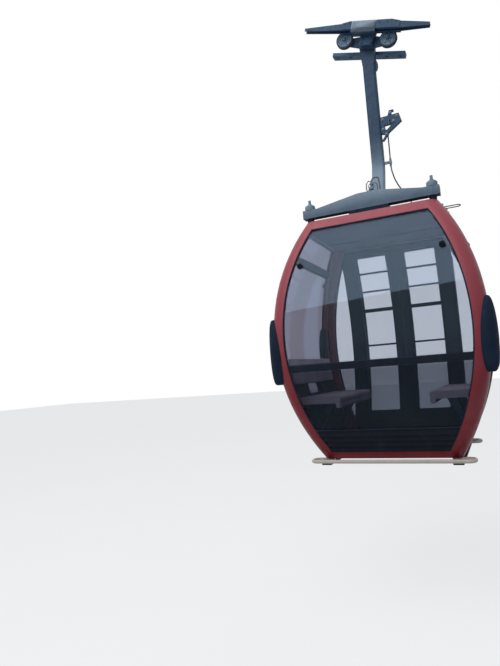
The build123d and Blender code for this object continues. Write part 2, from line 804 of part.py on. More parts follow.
def fixed_jaw():
    """Fixed jaw behind the rope, the hump over it and the two tongues."""
    jaw = block(-jaw_half, jaw_half, jaw_gap, body_y, -jaw_low, hump_split)
    left = block(hump_low, -jaw_half, -jaw_out, body_y, shoulder_low, hump_split)
    right = block(jaw_half, hump_high, -jaw_out, body_y, shoulder_low, hump_split)
    shoulder = left + right
    shoulder -= block(-jaw_half - moving_gap, jaw_half + moving_gap, -jaw_out - 1, jaw_gap, -100, 200)
    shoulder -= grip_cylinder(hump_low - 1, hump_high + 1, rope_r + tongue_free)
    jaw -= grip_cylinder(-jaw_half - 1, jaw_half + 1, rope_r)
    body = jaw + shoulder + tongue(hump_low, tongue_left) + tongue(hump_high, tongue_right)
    parts["fixed_jaw"] = body
    outline = Polyline(
        (hump_low, hump_split), (hump_low, tongue_root), (hump_low + hump_slope, hump_top),
        (hump_high - hump_slope, hump_top), (hump_high, tongue_root), (hump_high, hump_split), close=True
    )
    hump = extrude(Plane.XZ * make_face(outline), big, both=True) & block(-big, big, -jaw_out, body_y, 0, big)
    recess = jaw_half + moving_gap
    hump -= block(-recess, recess, -jaw_out - 1, jaw_gap + moving_gap / 2, 0, 200)
    pin_length = jaw_half + moving_gap + 22
    hump -= grip_cylinder(-pin_length, pin_length, hinge_pin_r, hinge_y, hinge_w)
    parts["grip_housing"] = hump
    parts["jaw_pin"] = grip_cylinder(-pin_length, pin_length, hinge_pin_r, hinge_y, hinge_w)


def moving_jaw():
    """Near jaw that turns on the pin along the rope, bevelled along its foot."""
    plate = block(-jaw_half, jaw_half, -jaw_out, -jaw_gap, -jaw_low, hinge_w)
    plate += block(-jaw_half, jaw_half, -jaw_out, hinge_y, hinge_w, hump_top)
    plate += grip_cylinder(-jaw_half, jaw_half, knuckle_r, hinge_y, hinge_w)
    foot = Polyline(
        (-jaw_out, jaw_bevel - jaw_low), (-jaw_out, -jaw_low), (jaw_bevel_in - jaw_out, -jaw_low), close=True
    )
    plate -= extrude(Plane.YZ * make_face(foot), big, both=True)
    plate -= grip_cylinder(-jaw_half - 1, jaw_half + 1, rope_r)
    plate -= grip_cylinder(-jaw_half - 1, jaw_half + 1, hinge_pin_r + running_gap, hinge_y, hinge_w)
    parts["moving_jaw"] = plate


def wheel_carrier():
    """Cast carrier behind the jaws with an arm to each running wheel."""
    arm_low, arm_high = arm_plate_y, arm_plate_y + arm_plate_t
    boss_left, boss_right = boss_mid - boss_half, boss_mid + boss_half
    boss = block(boss_left, boss_right, body_y, arm_high, boss_low, boss_top)
    boss = fillet(boss.edges().filter_by(Axis.Y), 12)
    end_high, end_low = arm_rise - wheel_drop, -arm_rise - wheel_drop
    arms = Polyline(
        (wheel_left, end_high), (boss_left, arm_top), (boss_right, arm_top), (wheel_right, end_high),
        (wheel_right, end_low), (boss_right, boss_low + 8), (boss_left, boss_low + 8), (wheel_left, end_low),
        close=True
    )
    plate = extrude(Plane.XZ * make_face(arms), big, both=True)
    carrier = boss + (plate & block(-big, big, arm_low, arm_high, -big, big))
    axle_near = wheel_y - running_gap
    axle_far = wheel_y + wheel_t + running_gap
    for u in (wheel_left, wheel_right):
        carrier += rod((u, arm_low, -wheel_drop), (u, arm_high, -wheel_drop), arm_rise)
        carrier += rod((u, axle_near, -wheel_drop), (u, arm_low + 1, -wheel_drop), axle_r)
        carrier += rod((u, axle_far, -wheel_drop), (u, arm_low + 1, -wheel_drop), axle_head_r)
        carrier += rod((u, axle_near - axle_head_t, -wheel_drop), (u, axle_near, -wheel_drop), axle_head_r)
    parts["wheel_carrier"] = carrier


def running_wheels():
    """Running wheels with dished hubs, each a hub and a tyre."""
    half = wheel_t / 2
    for u, name in ((wheel_left, "left"), (wheel_right, "right")):
        outline = Polyline(
            (axle_r + running_gap, -half), (32, -half), (38, -half + 10), (60, -half + 10),
            (66, -half), (wheel_rim_r, -half), (wheel_rim_r, half), (66, half),
            (60, half - 10), (38, half - 10), (32, half), (axle_r + running_gap, half), close=True
        )
        place = Pos(u, wheel_y + half, -wheel_drop) * Rot(90, 0, 0)
        parts["wheel_hub_" + name] = place * revolve(Plane.XZ * make_face(outline), Axis.Z)
        tread = Polyline(
            (wheel_rim_r, -half + 2), (wheel_r - 4, -half + 2), (wheel_r, -half + 6), (wheel_r, half - 6),
            (wheel_r - 4, half - 2), (wheel_rim_r, half - 2), close=True
        )
        parts["wheel_tyre_" + name] = place * revolve(Plane.XZ * make_face(tread), Axis.Z)


def pivot_and_plate():
    """Hanger pivot with its collar, and the friction plate on the end of it."""
    seat = arm_plate_y + arm_plate_t
    pin_end = plate_y + hub_t
    pin = rod((0, seat, -pivot_drop), (0, pin_end, -pivot_drop), pivot_r)
    pin += rod((0, seat, -pivot_drop), (0, head_y - running_gap, -pivot_drop), collar_r)
    parts["pivot_pin"] = pin
    hub_y = head_y + head_t + running_gap
    hub = rod((0, hub_y, -pivot_drop), (0, pin_end, -pivot_drop), pivot_r + hub_wall)
    plate = block(-plate_half, plate_half, plate_y, plate_y + plate_depth, -plate_drop - plate_t, -plate_drop)
    plate = fillet(plate.edges().filter_by(Axis.Z), plate_r)
    web = block(-pivot_r - hub_wall, pivot_r + hub_wall, plate_y, pin_end, -plate_drop - 1, -pivot_drop)
    body = hub + plate + web
    body -= rod((0, seat, -pivot_drop), (0, pin_end + 1, -pivot_drop), pivot_r + running_gap)
    parts["friction_plate"] = body


# Cabin pieces are drawn with the base centre at zero, then hung from the pivot
cabin_frame()
cabin_roof()
cabin_floor()
cabin_ends()
near_side()
far_side()
door_leaves()
door_track()
benches()
bumper_pads()
base_ring()
roof_beams()
hanger_arm()
release_gear()
end_loop()
cabin_nodes = list(parts)

# Grip pieces are drawn level, then tilted with the rope
fixed_jaw()
moving_jaw()
wheel_carrier()
running_wheels()
pivot_and_plate()

hang = Pos(cabin_x, 0, -rope_height)
tilt = Rot(0, rope_tilt, 0)
os.makedirs("parts", exist_ok=True)
for name, shape in parts.items():
    placed = (hang if name in cabin_nodes else tilt) * shape
    export_step(placed, "parts/" + name + ".step")
print("pieces", len(parts))
print("cabin centre x", round(cabin_x, 3), "pivot above base", round(pivot_z, 3))
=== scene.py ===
import json
import math

import bpy
from mathutils import Matrix, Vector


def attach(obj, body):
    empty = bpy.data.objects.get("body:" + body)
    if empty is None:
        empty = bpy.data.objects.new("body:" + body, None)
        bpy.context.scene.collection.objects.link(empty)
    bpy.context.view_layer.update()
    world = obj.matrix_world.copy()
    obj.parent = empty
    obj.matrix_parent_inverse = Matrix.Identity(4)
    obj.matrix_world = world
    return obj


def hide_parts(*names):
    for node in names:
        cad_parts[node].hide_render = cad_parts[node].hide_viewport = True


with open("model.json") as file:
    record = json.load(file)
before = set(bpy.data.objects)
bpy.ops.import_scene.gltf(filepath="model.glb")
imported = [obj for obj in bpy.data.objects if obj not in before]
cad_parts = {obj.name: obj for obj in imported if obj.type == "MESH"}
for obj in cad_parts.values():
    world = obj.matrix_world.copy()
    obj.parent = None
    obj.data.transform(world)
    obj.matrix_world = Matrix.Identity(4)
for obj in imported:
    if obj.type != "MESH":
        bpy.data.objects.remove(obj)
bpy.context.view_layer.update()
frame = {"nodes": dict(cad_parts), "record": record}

# Directions in the frame
UP = (0, 0, 1)
NEAR = (0, -1, 0)
FAR = (0, 1, 0)

# Camera solved from the cabin's outline, in metres from the rope at the jaws
CAMERA_AT = (0.949, -5.44, -3.445)
CAMERA_YAW = math.radians(24.46)
CAMERA_PITCH = math.radians(4.524)
CAMERA_ROLL = math.radians(4.184)
FOCAL_PX = 547.2
PHOTO_HEIGHT_PX = 666
SENSOR_MM = 36.0

# Light: sky colour and strength, and the soft panel by its lower edge, slope, height and power
SKY_COLOUR = (0.84, 0.91, 1.0, 1)
SKY_STRENGTH = 0.38
PANEL_LOW_LEFT = (-4.2, -7.0, -0.94)
PANEL_LOW_RIGHT = (1.7, -7.0, 0.47)
PANEL_SLOPE = (4.5, 9.3)
PANEL_HEIGHT = 10.3
PANEL_POWER = 640
FLOOR_Z = -5.6
FLOOR_HALF = 60.0

# Where the cabin and the grip lie in the frame, as part.py hangs them
CABIN_X = -0.017917
ROPE_HEIGHT = 4.24
ROPE_TILT = math.radians(16)

# Barrel of the shell and the openings in it: half size at the waist and radius of the arc
WAIST = 1.1
HALF_DEPTH, DEPTH_ARC = 0.870, 2.200
HALF_LENGTH, LENGTH_ARC = 0.915, 2.070
FACE_HALF, FACE_ARC = 0.793, 2.020
END_HALF, END_ARC = 0.720, 2.050
FACE_LOW, FACE_HIGH = 0.060, 2.112
SHELL_WALL = 0.055
GLASS_INSET = 0.014
CEILING_LOW = 2.117
ROOF_TOP = 2.200
DOME_TOP = 2.2245

# Roof frame: foot of the beams, their middle, the cups, the studs and the top of the arm's foot plate
BEAM_LOW = 2.247
BEAM_MID = BEAM_LOW + 0.145
CUP_TOP = BEAM_LOW + 0.132
STUD_X, STUD_Y = 0.560, 0.484
FOOT_TOP = 2.377
HANDLE_X = 0.035

# Door leaf seals, door track and lower guide
LEAF_SEAL_X = (0.099, 0.424)
LEAF_SEAL_Z = (0.311, 2.034)
TRACK_Z = 2.103
GUIDE_Z = 0.092

# Padded backs over the benches: lower and upper edge, half width, thickness, distance in from the shell
BACK_LOW, BACK_HIGH = 0.69, 0.93
BACK_HALF = 0.62
BACK_T = 0.040
BACK_OUT = 0.050

# Bumper pads: middle, half height and width, crest over their plane, depth of the plane in the shell
PAD_Z = 0.995
PAD_HALF_HEIGHT = 0.2998
PAD_HALF_WIDTH = 0.094
PAD_CREST = 0.0648
PAD_SINK = 0.020
PAD_EDGE = 0.012
PAD_BACK = 0.030
# Side of the cabin, distance in from that side, and turn away from the end
PAD_PLACES = [(-1, 0.083, math.radians(28.5)), (1, 0.126, math.radians(18))]

# Running wheels along the rope and below it, and their radii to the hub bolts and the tyre ridges
WHEELS = [(-0.219, "left"), (0.243, "right")]
WHEEL_W = -0.053
HUB_BOLT_R = 0.049
RIDGE_R = 0.0868
PIVOT_W = -0.065


def cabin(x, y, z):
    """Place in the frame of a point given from the middle of the cabin's base."""
    return Vector((x + CABIN_X, y, z - ROPE_HEIGHT))


def grip(u, y, w):
    """Place in the frame of a point given along, across and above the rope."""
    c, s = math.cos(ROPE_TILT), math.sin(ROPE_TILT)
    return Vector((u * c + w * s, y, w * c - u * s))


def arc_half(half, radius, z, inset=0.0):
    """Half width at a height of a barrel profile."""
    return half - radius + math.sqrt((radius - inset) ** 2 - (z - WAIST) ** 2)


def depth(z, inset=0.0):
    """Distance from the centre plane to the long side of the cabin."""
    return arc_half(HALF_DEPTH, DEPTH_ARC, z, inset)


def length(z, inset=0.0):
    """Distance from the centre plane to the end of the cabin."""
    return arc_half(HALF_LENGTH, LENGTH_ARC, z, inset)


def face_edge(z):
    """Half length of the opening in a red hoop."""
    return arc_half(FACE_HALF, FACE_ARC, z)


def end_edge(z):
    """Half width of the opening between the two hoops."""
    return arc_half(END_HALF, END_ARC, z)


def steps(low, high, count):
    """Even steps from low to high, both included."""
    return [low + (high - low) * i / (count - 1) for i in range(count)]


def circle(radius, sides):
    """Points round a circle."""
    angles = [2 * math.pi * j / sides for j in range(sides)]
    return [(radius * math.cos(a), radius * math.sin(a)) for a in angles]


def rounded(corners, radius, parts=6):
    """Closed outline with its corners rounded."""
    points = []
    count = len(corners)
    for i in range(count):
        here = Vector(corners[i])
        back = (Vector(corners[i - 1]) - here).normalized()
        on = (Vector(corners[(i + 1) % count]) - here).normalized()
        a, b = here + back * radius, here + on * radius
        for t in steps(0, 1, parts + 1):
            points.append(tuple((1 - t) ** 2 * a + 2 * t * (1 - t) * here + t * t * b))
    return points


def spread(points, gap):
    """Closed outline with more points on its long sides."""
    more = []
    for i, here in enumerate(points):
        on = points[(i + 1) % len(points)]
        count = max(1, round(math.dist(here, on) / gap))
        for j in range(count):
            more.append(tuple(a + (b - a) * j / count for a, b in zip(here, on)))
    return more


def srgb(r, g, b):
    """Linear colour of a screen colour from 0 to 255."""
    def line(v):
        v /= 255
        return v / 12.92 if v <= 0.04045 else ((v + 0.055) / 1.055) ** 2.4
    return (line(r), line(g), line(b), 1.0)


# Materials

class Shade:
    """One node material, with short calls for the nodes it is made of."""

    def __init__(self, name):
        self.material = bpy.data.materials.new(name)
        self.material.use_nodes = True
        self.tree = self.material.node_tree
        self.tree.nodes.clear()
        self.output = self.node("ShaderNodeOutputMaterial")
        texture = self.node("ShaderNodeTexCoord")
        self.place = texture.outputs["Object"]
        self.normal = texture.outputs["Normal"]

    def node(self, kind, **settings):
        """New node with its settings."""
        made = self.tree.nodes.new(kind)
        for key, value in settings.items():
            setattr(made, key, value)
        return made

    def feed(self, socket, value):
        """Link a socket, or set it where the value is plain."""
        if isinstance(value, bpy.types.NodeSocket):
            self.tree.links.new(value, socket)
        else:
            socket.default_value = value

    def noise(self, scale, detail=4.0, rough=0.55, stretch=(1, 1, 1)):
        """Cloudy pattern fixed to the object."""
        mapping = self.node("ShaderNodeMapping")
        mapping.inputs["Scale"].default_value = stretch
        self.feed(mapping.inputs["Vector"], self.place)
        texture = self.node("ShaderNodeTexNoise")
        self.feed(texture.inputs["Vector"], mapping.outputs[0])
        texture.inputs["Scale"].default_value = scale
        texture.inputs["Detail"].default_value = detail
        texture.inputs["Roughness"].default_value = rough
        return texture.outputs["Fac"]

    def cells(self, scale):
        """Round cells fixed to the object."""
        texture = self.node("ShaderNodeTexVoronoi", feature="F1")
        self.feed(texture.inputs["Vector"], self.place)
        texture.inputs["Scale"].default_value = scale
        return texture.outputs["Distance"]

    def span(self, value, low, high, to_low=0.0, to_high=1.0):
        """Turn one range of values into another, with nothing past its ends."""
        made = self.node("ShaderNodeMapRange")
        made.clamp = True
        self.feed(made.inputs["Value"], value)
        limits = {"From Min": low, "From Max": high, "To Min": to_low, "To Max": to_high}
        for key, number in limits.items():
            made.inputs[key].default_value = number
        return made.outputs[0]

    def maths(self, operation, a, b=0.0):
        """One sum, of sockets or plain numbers."""
        made = self.node("ShaderNodeMath", operation=operation)
        self.feed(made.inputs[0], a)
        self.feed(made.inputs[1], b)
        return made.outputs[0]

    def mix(self, factor, a, b):
        """Mix of two colours."""
        made = self.node("ShaderNodeMix", data_type="RGBA", blend_type="MIX")
        self.feed(made.inputs[0], factor)
        self.feed(made.inputs[6], a)
        self.feed(made.inputs[7], b)
        return made.outputs[2]

    def blend(self, share, a, b):
        """Mix of two shaders."""
        made = self.node("ShaderNodeMixShader")
        self.feed(made.inputs[0], share)
        self.feed(made.inputs[1], a)
        self.feed(made.inputs[2], b)
        return made.outputs[0]

    def along(self, vector, axis):
        """One part of a vector."""
        split = self.node("ShaderNodeSeparateXYZ")
        self.feed(split.inputs[0], vector)
        return split.outputs[axis]

    def height(self):
        """Height in the frame."""
        return self.along(self.place, "Z")

    def edges(self, radius):
        """1 on edges sharper than the radius, 0 on flat faces."""
        bevel = self.node("ShaderNodeBevel", samples=4)
        bevel.inputs["Radius"].default_value = radius
        geometry = self.node("ShaderNodeNewGeometry")
        dot = self.node("ShaderNodeVectorMath", operation="DOT_PRODUCT")
        self.feed(dot.inputs[0], bevel.outputs[0])
        self.feed(dot.inputs[1], geometry.outputs["Normal"])
        return self.span(dot.outputs["Value"], 0.995, 0.88)

    def bump(self, value, strength, distance, under=None):
        """Relief from a value, laid over the relief under it."""
        made = self.node("ShaderNodeBump")
        made.inputs["Strength"].default_value = strength
        made.inputs["Distance"].default_value = distance
        self.feed(made.inputs["Height"], value)
        if under is not None:
            self.feed(made.inputs["Normal"], under)
        return made.outputs[0]

    def surface(self, colour, roughness, normal, metallic=0.0, coat=0.0, specular=0.5):
        """Shader of an opaque finish."""
        shader = self.node("ShaderNodeBsdfPrincipled")
        self.feed(shader.inputs["Base Color"], colour)
        self.feed(shader.inputs["Roughness"], roughness)
        self.feed(shader.inputs["Normal"], normal)
        shader.inputs["Metallic"].default_value = metallic
        shader.inputs["Coat Weight"].default_value = coat
        shader.inputs["Coat Roughness"].default_value = 0.12
        shader.inputs["Specular IOR Level"].default_value = specular
        return shader.outputs[0]

    def finish(self, shader):
        """The material, with this shader as its output."""
        self.feed(self.output.inputs[0], shader)
        return self.material


def streaks(s, scale=9.0):
    """Runs of rain and dust down the upright faces."""
    runs = s.noise(scale, 5.0, 0.6, (1.0, 1.0, 0.07))
    return s.span(runs, 0.52, 0.72)


GRIME = (104, 100, 98)
BARE_SPOT = (176, 182, 178)
RUST = (96, 74, 60)
SCUFF = (112, 114, 114)
RUBBED = (130, 132, 132)
BRIGHT_EDGE = (150, 156, 160)


def paint(
    name, low, high, heights, worn,
    rough=0.42, coat=0.0, dust=0.1, speckle=0.0, gloss=0.3, lean=0.0,
):
    """Paint that turns from one colour into another with height, with wear, dust and runs. For some
    paints the turn with height is painted shade low down and a painted highlight high up.

    Its lean also turns it from the front to the back, which paints shade on the near side.
    """
    s = Shade(name)
    low, high, worn = srgb(*low), srgb(*high), srgb(*worn)
    drift = 0.12 * (heights[1] - heights[0])
    place = s.maths("ADD", s.height(), s.span(s.noise(1.7, 3.0), 0.3, 0.7, -drift, drift))
    if lean:
        place = s.maths("ADD", place, s.maths("MULTIPLY", s.along(s.place, "Y"), lean))
    colour = s.mix(s.span(place, *heights), low, high)
    cloud = s.span(s.noise(6.0, 5.0), 0.35, 0.7)
    colour = s.mix(s.maths("MULTIPLY", cloud, 0.35), colour, s.mix(0.55, colour, high))
    colour = s.mix(s.maths("MULTIPLY", streaks(s), dust), colour, srgb(*GRIME))
    if speckle:
        spots = s.maths("MULTIPLY", s.span(s.cells(95.0), 0.20, 0.08), speckle)
        spots = s.maths("MULTIPLY", spots, s.span(s.noise(14.0, 2.0), 0.45, 0.6))
        colour = s.mix(spots, colour, srgb(*BARE_SPOT))
        rust = s.maths("MULTIPLY", s.span(s.noise(33.0, 6.0, 0.7), 0.62, 0.72), speckle)
        colour = s.mix(rust, colour, srgb(*RUST))
    chips = s.maths("MULTIPLY", s.edges(0.0035), s.span(s.noise(60.0, 4.0, 0.7), 0.46, 0.60))
    colour = s.mix(chips, colour, worn)
    roughness = s.span(s.noise(22.0, 4.0), 0.3, 0.7, rough - 0.08, rough + 0.14)
    fine = s.bump(s.noise(420.0, 2.0), 0.12, 0.0004)
    dents = s.bump(s.noise(9.0, 2.0), 0.10, 0.004, fine)
    skin = s.bump(chips, 0.25, 0.0005, dents)
    return s.finish(s.surface(colour, roughness, skin, coat=coat, specular=gloss))


def plastic(name, dark, light, rough, grain=260.0, gloss=0.2, scuffed=0.2):
    """Rubber or moulded plastic with a fine grain, scuffs and dust."""
    s = Shade(name)
    dark, light = srgb(*dark), srgb(*light)
    colour = s.mix(s.span(s.noise(5.0, 5.0), 0.35, 0.7), dark, light)
    scuffs = s.span(s.noise(38.0, 6.0, 0.7, (1.0, 1.0, 0.35)), 0.60, 0.72)
    colour = s.mix(s.maths("MULTIPLY", scuffs, scuffed), colour, srgb(*SCUFF))
    rub = s.maths("MULTIPLY", s.edges(0.004), s.span(s.noise(30.0), 0.4, 0.6, 0.05, 0.4))
    colour = s.mix(rub, colour, s.mix(0.5, light, srgb(*RUBBED)))
    roughness = s.span(s.noise(30.0, 4.0), 0.3, 0.7, rough - 0.08, rough + 0.12)
    skin = s.bump(s.noise(grain, 3.0, 0.6), 0.35, 0.0006)
    skin = s.bump(s.noise(12.0, 2.0), 0.15, 0.003, skin)
    return s.finish(s.surface(colour, roughness, skin, specular=gloss))


def metal(name, dark, light, stain, rough, spangle=0.0):
    """Bare or zinc coated steel with stains."""
    s = Shade(name)
    dark, light = srgb(*dark), srgb(*light)
    colour = s.mix(s.span(s.noise(70.0, 4.0, 0.6), 0.3, 0.7), dark, light)
    if spangle:
        flakes = s.maths("MULTIPLY", s.span(s.cells(60.0), 0.1, 0.7), spangle)
        colour = s.mix(flakes, colour, light)
    marks = s.span(s.noise(11.0, 6.0, 0.68), 0.52, 0.70)
    colour = s.mix(s.maths("MULTIPLY", marks, 0.6), colour, srgb(*stain))
    bright = s.maths("MULTIPLY", s.edges(0.003), 0.3)
    colour = s.mix(bright, colour, srgb(*BRIGHT_EDGE))
    roughness = s.span(s.noise(45.0, 4.0), 0.3, 0.7, rough - 0.1, rough + 0.15)
    grain = s.bump(s.noise(240.0, 3.0, 0.6), 0.2, 0.0005)
    return s.finish(s.surface(colour, roughness, grain, metallic=0.75))


# Panes: the two heights where the lower part's tint turns into the upper's, the tints, gloss and dust
LOWER_PANE = (-3.46, -3.36)
LOWER_TINT = srgb(196, 198, 204)
UPPER_TINT = srgb(232, 234, 238)
END_TINT = srgb(191, 187, 195)
PANE_GLOSS = (0.55, 0.76, 1.0, 1)
PANE_FILM = srgb(150, 162, 178)


def glazing(name):
    """Smoke tinted pane: see-through, with gloss at its surface and a thin film of dust and runs."""
    s = Shade(name)
    upper = s.span(s.height(), *LOWER_PANE)
    at_end = s.span(s.maths("ABSOLUTE", s.along(s.normal, "X")), 0.5, 0.6)
    tint = s.mix(at_end, s.mix(upper, LOWER_TINT, UPPER_TINT), END_TINT)
    through = s.node("ShaderNodeBsdfTransparent")
    s.feed(through.inputs["Color"], tint)
    gloss = s.node("ShaderNodeBsdfGlossy")
    gloss.inputs["Roughness"].default_value = 0.03
    gloss.inputs["Color"].default_value = PANE_GLOSS
    s.feed(gloss.inputs["Normal"], s.bump(s.noise(2.2, 1.0), 0.06, 0.02))
    facing = s.node("ShaderNodeLayerWeight").outputs["Facing"]
    rise = s.maths("MULTIPLY", s.maths("POWER", facing, 5.0), 0.6)
    share = s.maths("ADD", rise, s.span(upper, 0, 1, 0.012, 0.019))
    film = s.node("ShaderNodeBsdfDiffuse")
    film.inputs["Color"].default_value = PANE_FILM
    runs = s.maths("MULTIPLY", streaks(s, 14.0), 0.012)
    patches = s.span(s.noise(3.0, 6.0, 0.7), 0.45, 0.75, 0.0, 0.010)
    clear = s.blend(share, through.outputs[0], gloss.outputs[0])
    return s.finish(s.blend(s.maths("ADD", runs, patches), clear, film.outputs[0]))


STEEL_WEAR = (100, 106, 110)
BLACK_WEAR = (52, 58, 66)
BLUE_WEAR = (74, 94, 112)
# Paints: colour low down, colour high up, the two heights, worn colour, finish
PAINTS = {
    # Red: the darker red low down is painted shade, and the paler pink high up is a painted reflection of
    # the bright sky.
    "red_paint": ((108, 18, 26), (150, 70, 80), (-4.2, -2.0), (70, 38, 40), dict(coat=0.05, gloss=0.2)),
    "black_paint": ((12, 18, 28), (22, 31, 46), (-4.1, -2.1), BLACK_WEAR, dict(
        rough=0.55, dust=0.05, gloss=0.12)),
    "door_paint": ((12, 18, 28), (22, 32, 46), (-4.1, -2.1), BLACK_WEAR, dict(
        rough=0.55, dust=0.04, gloss=0.12)),
    "roof_skin": ((140, 144, 146), (168, 172, 174), (-2.2, -1.9), STEEL_WEAR, dict(
        rough=0.5, dust=0.4, speckle=0.35)),
    "cream_paint": ((168, 160, 150), (196, 188, 176), (-4.4, -4.1), (112, 100, 88), dict(
        rough=0.4, coat=0.1, dust=0.3)),
    # Beams: the darker foot is painted shade under them, and the paler top is painted sky light on it.
    "beam_paint": ((66, 84, 102), (112, 130, 146), (-1.97, -1.87), STEEL_WEAR, dict(
        rough=0.6, dust=0.2, speckle=0.5)),
    "hanger_paint": ((146, 168, 184), (46, 65, 86), (-1.95, -1.0), STEEL_WEAR, dict(
        rough=0.55, dust=0.15, speckle=0.2, gloss=0.15)),
    # Grip: its lean paints the near faces darker than the parts further back, as painted shade.
    "grip_paint": ((42, 66, 90), (68, 94, 120), (0.5, 1.5), BLUE_WEAR, dict(
        rough=0.5, dust=0.12, speckle=0.1, gloss=0.15, lean=6.0)),
    "wheel_hub": ((90, 112, 132), (102, 124, 146), (-0.4, 0.1), BLUE_WEAR, dict(
        rough=0.5, dust=0.15, speckle=0.15)),
    # Jaw plates: the darker colour lower down is painted shade on their lower edge.
    "jaw_plate": ((50, 66, 84), (116, 132, 148), (-0.005, 0.03), BLUE_WEAR, dict(
        rough=0.45, dust=0.2, speckle=0.3)),
}
# Plastics and rubbers: dark and light colour, finish
PLASTICS = {
    "lining": ((92, 100, 112), (112, 120, 132), dict(rough=0.6, grain=160.0)),
    "floor_mat": ((28, 34, 42), (42, 48, 56), dict(rough=0.75, grain=140.0)),
    "black_plastic": ((8, 11, 16), (14, 18, 24), dict(rough=0.7, gloss=0.05, scuffed=0.08)),
    "rubber": ((14, 27, 42), (24, 40, 60), dict(rough=0.7, grain=220.0, gloss=0.12, scuffed=0.08)),
    "seat_shell": ((198, 182, 192), (222, 206, 214), dict(rough=0.55)),
    "cable_sheath": ((28, 38, 48), (44, 54, 66), dict(rough=0.5)),
    "wheel_tyre": ((48, 60, 74), (62, 74, 88), dict(rough=0.7, gloss=0.15, scuffed=0.05)),
}
# Metals: dark, light and stain colour, finish
METALS = {
    "galvanised": ((62, 76, 90), (86, 100, 112), (60, 66, 72), dict(rough=0.5, spangle=0.5)),
    "steel": ((62, 72, 82), (90, 98, 108), (66, 60, 56), dict(rough=0.45)),
}
MATERIALS = {"tinted_glass": glazing("tinted_glass")}
for make, table in ((paint, PAINTS), (plastic, PLASTICS), (metal, METALS)):
    for name, (*colours, finish) in table.items():
        MATERIALS[name] = make(name, *colours, **finish)


# Pieces

# Edges sharper than this stay sharp
SHARP_EDGE = math.radians(40)


class Piece:
    """Mesh made of many small closed parts that share one body and one finish."""

    def __init__(self):
        self.points = []
        self.faces = []

    def add_rings(self, rings, closed=False):
        """Skin over rings of the same number of points, capped at both ends unless closed."""
        start, sides = len(self.points), len(rings[0])
        for ring in rings:
            self.points.extend(ring)
        count = len(rings)
        for i in range(count if closed else count - 1):
            a, b = start + i * sides, start + (i + 1) % count * sides
            for j in range(sides):
                k = (j + 1) % sides
                self.faces.append((a + j, a + k, b + k, b + j))
        if not closed:
            self.faces.append(tuple(start + j for j in reversed(range(sides))))
            self.faces.append(tuple(start + (count - 1) * sides + j for j in range(sides)))

    def lathe(self, at, axis, outline, sides=24):
        """Turned shape: the outline is a list of radius and height along the axis."""
        turn = Vector(axis).normalized().to_track_quat("Z", "Y")
        rings = []
        for radius, height in outline:
            rings.append([Vector(at) + turn @ Vector((a, b, height)) for a, b in circle(radius, sides)])
        self.add_rings(rings)

    def bolt(self, at, axis, size, washer=True):
        """Hexagon head, size across its corners, on a washer."""
        lift = 0.0
        if washer:
            lift = size * 0.16
            outline = [(size * 0.85, -0.001), (size * 0.85, lift * 0.8), (size * 0.80, lift)]
            self.lathe(at, axis, outline, 20)
        top = lift + size * 0.55
        outline = [(size / 2, lift - 0.0005), (size / 2, top * 0.86), (size * 0.44, top)]
        self.lathe(at, axis, outline, 6)

    def screw(self, at, axis, size):
        """Domed screw head."""
        half = size / 2
        outline = [(half, -0.001), (half, size * 0.12)]
        outline += [(half * 0.8, size * 0.26), (half * 0.35, size * 0.32)]
        self.lathe(at, axis, outline, 14)

    def sweep(self, path, outline, closed=False):
        """Section given as points (side, out) carried along a path."""
        count = len(path)
        rings = []
        normal = None
        for i in range(count):
            before = path[(i - 1) % count] if closed or i else path[i]
            after = path[(i + 1) % count] if closed or i < count - 1 else path[i]
            way = (Vector(after) - Vector(before)).normalized()
            if normal is None:
                normal = way.orthogonal().normalized()
            normal = (normal - way * normal.dot(way)).normalized()
            side = way.cross(normal)
            rings.append([Vector(path[i]) + a * side + b * normal for a, b in outline])
        self.add_rings(rings, closed)

    def bead(self, path, radius, closed=False, sides=8):
        """Round bar along a path."""
        self.sweep(path, circle(radius, sides), closed)

    def box(self, centre, size, axes=None):
        """Block of the given size, turned by axes."""
        x, y, z = [v / 2 for v in size]
        turn = axes or Matrix.Identity(3)
        corners = ((-x, -y), (x, -y), (x, y), (-x, y))
        rings = []
        for h in (-z, z):
            rings.append([Vector(centre) + turn @ Vector((a, b, h)) for a, b in corners])
        self.add_rings(rings)

    def finish(self, name, body, slot, bevel=0.0):
        """Make the object, with its finish and the body that it moves with."""
        mesh = bpy.data.meshes.new(name)
        mesh.from_pydata([tuple(p) for p in self.points], [], self.faces)
        mesh.validate()
        for polygon in mesh.polygons:
            polygon.use_smooth = True
        mesh.set_sharp_from_angle(angle=SHARP_EDGE)
        made = bpy.data.objects.new(name, mesh)
        bpy.context.collection.objects.link(made)
        made.data.materials.append(MATERIALS[slot])
        if bevel:
            modifier = made.modifiers.new("bevel", "BEVEL")
            modifier.width = bevel
            modifier.segments = 2
            modifier.limit_method = "ANGLE"
        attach(made, body)
        return made


